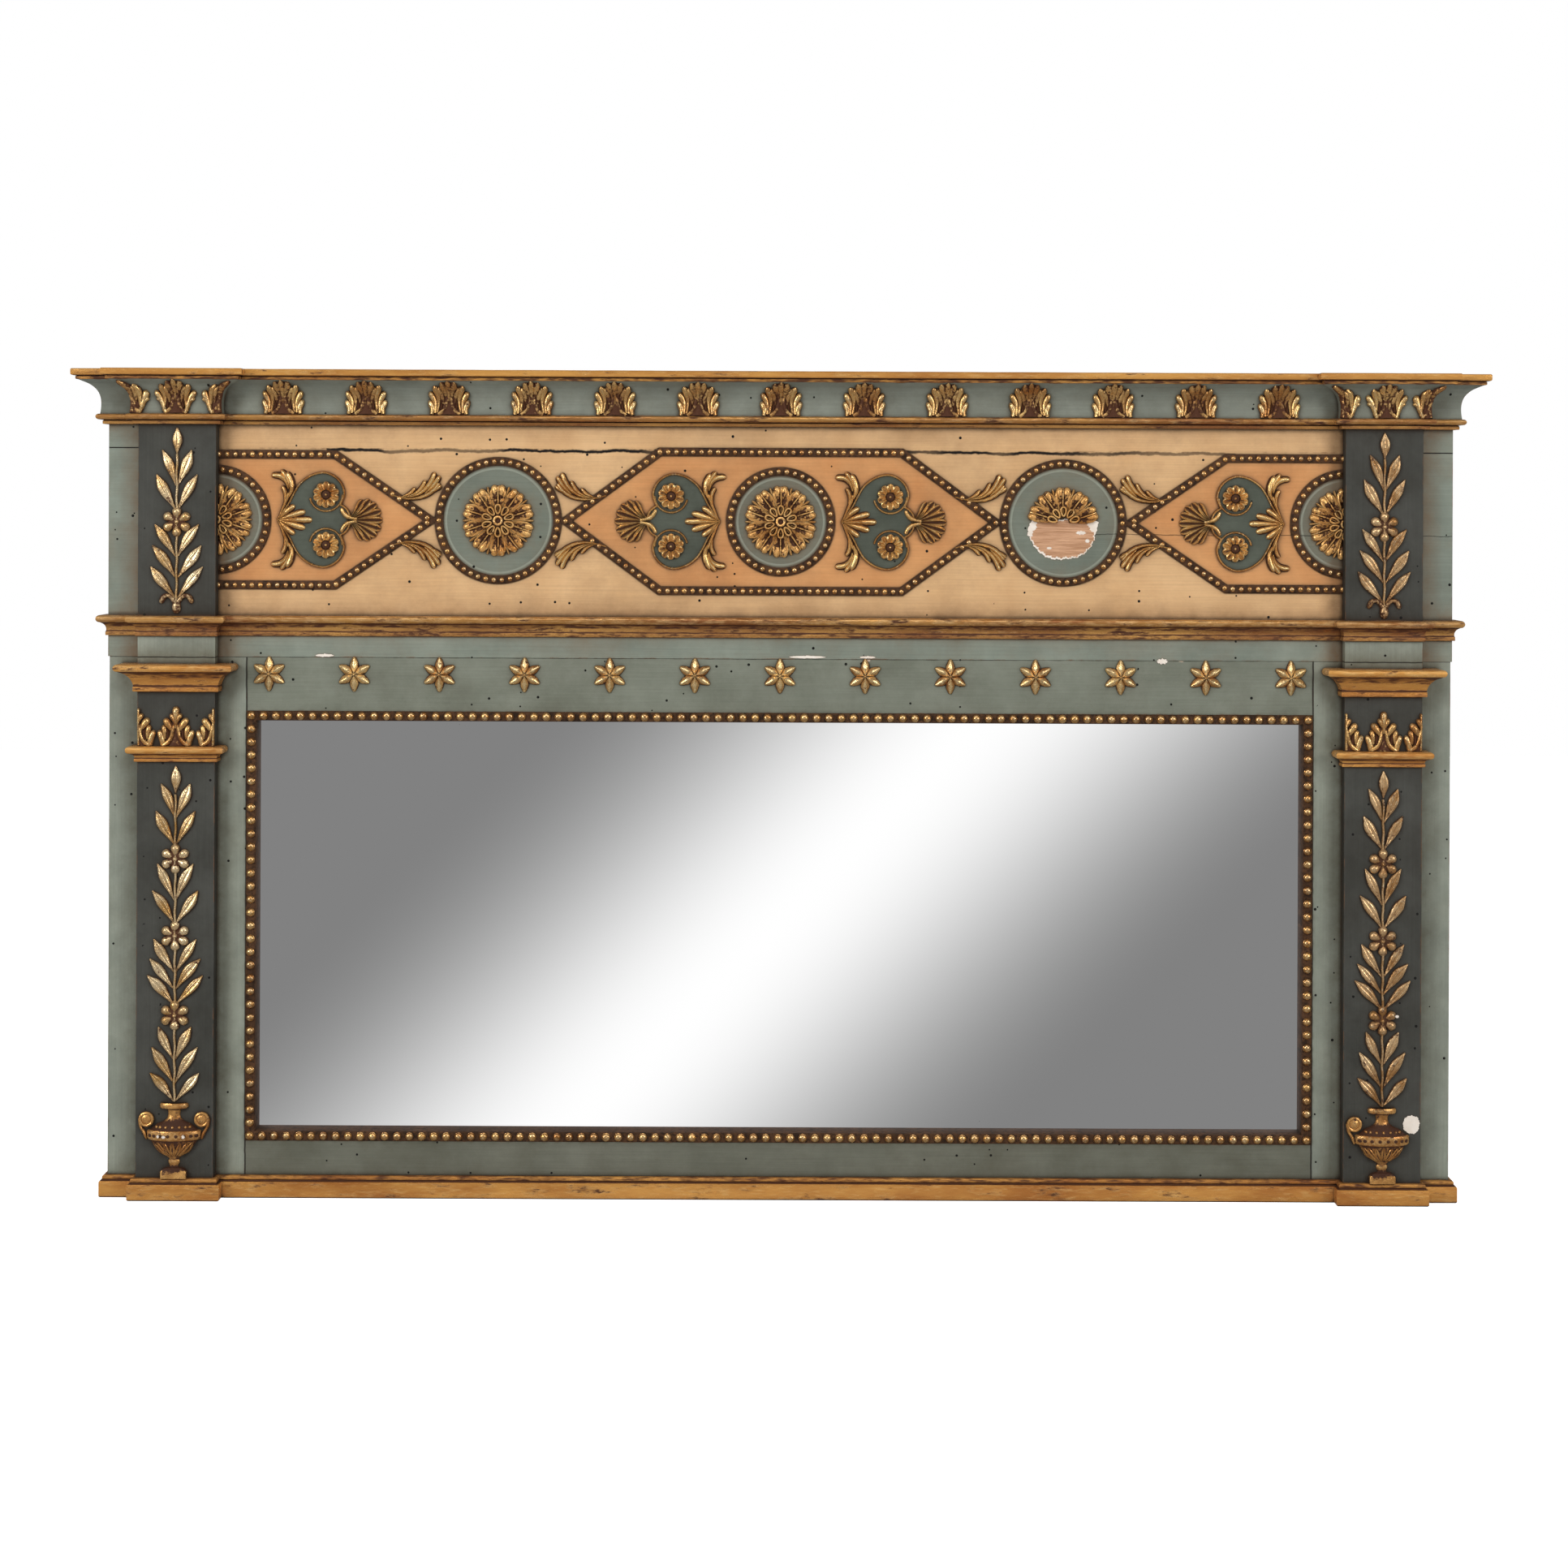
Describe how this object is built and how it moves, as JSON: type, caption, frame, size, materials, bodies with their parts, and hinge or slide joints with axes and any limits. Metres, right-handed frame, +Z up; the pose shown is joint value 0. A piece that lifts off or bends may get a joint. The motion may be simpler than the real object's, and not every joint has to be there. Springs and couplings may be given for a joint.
{
  "type": "overmantel mirror",
  "caption": "Painted and parcel-gilt overmantel mirror with pilasters, a carved frieze, a bold cornice and a beaded plate; stands on a shelf or hangs by rings.",
  "frame": {"origin": "middle of the base, on the shelf that it stands on", "axes": "+X to the right seen from the front, +Z up, the carved front faces -Y and the wall side +Y"},
  "size_m": [1.733, 0.1024, 1.018],
  "materials": {
    "blue_green_paint": "old matt distemper on pine",
    "dark_green_paint": "old matt paint on pine",
    "cream_paint": "old matt paint on pine",
    "heart_paint": "matt paint with a gilt edge",
    "gilding": "worn water gilding over brown bole",
    "mirror": "silvered plate glass",
    "bare_pine": "unpainted, darkened with age",
    "iron": "dark forged iron",
    "screw_steel": "dulled steel"
  },
  "bodies": {
    "mirror": {"back_screws": "screw_steel", "backboards": "bare_pine", "bead_strip_bottom": "gilding", "bead_strip_left": "gilding", "bead_strip_right": "gilding", "bead_strip_top": "gilding", "bottom_rail": "blue_green_paint", "capital_leaves": "gilding", "centre_back_batten": "bare_pine", "centre_base_mould": "gilding", "centre_bed_mould": "gilding", "centre_cove": "blue_green_paint", "centre_crown": "gilding", "centre_waist_mould": "gilding", "cornice_leaves": "gilding", "frieze_board": "cream_paint", "frieze_top_board": "cream_paint", "glass_blocks": "bare_pine", "hanger_straps": "iron", "heart_rosettes": "gilding", "hearts": "heart_paint", "leaf_sprays": "gilding", "left_back_batten": "bare_pine", "left_base_mould": "gilding", "left_bed_mould": "gilding", "left_capital_block": "dark_green_paint", "left_capital_mould": "gilding", "left_cove": "blue_green_paint", "left_crown": "gilding", "left_entablature_block": "blue_green_paint", "left_necking_mould": "gilding", "left_pilaster": "dark_green_paint", "left_stile": "blue_green_paint", "left_upper_pilaster": "dark_green_paint", "left_waist_mould": "gilding", "lower_laurel_branches": "gilding", "medallion_rings": "gilding", "medallion_rosettes": "gilding", "mirror_glass": "mirror", "palmettes": "gilding", "panel_borders": "gilding", "right_back_batten": "bare_pine", "right_base_mould": "gilding", "right_bed_mould": "gilding", "right_capital_block": "dark_green_paint", "right_capital_mould": "gilding", "right_cove": "blue_green_paint", "right_crown": "gilding", "right_entablature_block": "blue_green_paint", "right_necking_mould": "gilding", "right_pilaster": "dark_green_paint", "right_stile": "blue_green_paint", "right_upper_pilaster": "dark_green_paint", "right_waist_mould": "gilding", "star_rail": "blue_green_paint", "stars": "gilding", "upper_laurel_branches": "gilding", "urns": "gilding"},
    "left_ring": {"left_hanging_ring": "iron"},
    "right_ring": {"right_hanging_ring": "iron"}
  },
  "joints": [
    {"name": "left_ring_swing", "type": "hinge", "parent": "mirror", "child": "left_ring", "pos_m": [-0.56, 0.03805, 0.8], "axis": [1, 0, 0], "range_deg": [0, 180]},
    {"name": "right_ring_swing", "type": "hinge", "parent": "mirror", "child": "right_ring", "pos_m": [0.56, 0.03805, 0.8], "axis": [1, 0, 0], "range_deg": [0, 180]}
  ]
}
